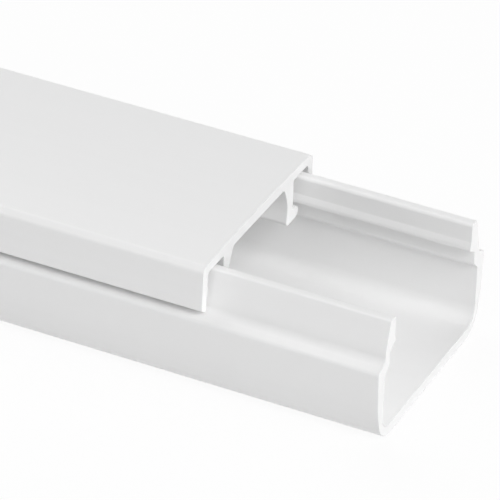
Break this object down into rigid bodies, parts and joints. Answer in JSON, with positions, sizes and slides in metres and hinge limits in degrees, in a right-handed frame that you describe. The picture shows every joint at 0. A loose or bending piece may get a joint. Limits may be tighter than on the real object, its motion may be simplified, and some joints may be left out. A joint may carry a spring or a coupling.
{
  "type": "cord cover raceway",
  "caption": "Two-piece clip-on cable trunking: a flat-backed wall channel with barbed lips and a crowned cover with hooked legs, for hiding cords along a wall.",
  "frame": {"origin": "middle of the channel's flat back face", "axes": "+X along the length towards the end where the cover is set back, +Y across the width, +Z out of the wall, from the back face to the cover"},
  "size_m": [0.4189, 0.025, 0.015],
  "materials": {
    "channel_pvc": "satin white rigid PVC, as extruded, with plain sawn ends",
    "cover_pvc": "satin white rigid PVC, as extruded, with plain sawn ends"
  },
  "bodies": {
    "channel": {"base_channel": "channel_pvc"},
    "lid": {"cover": "cover_pvc"}
  },
  "joints": [
    {"name": "cover_slide", "type": "slide", "parent": "channel", "child": "lid", "axis": [1, 0, 0], "range_m": [-0.39, 0.0189]}
  ]
}
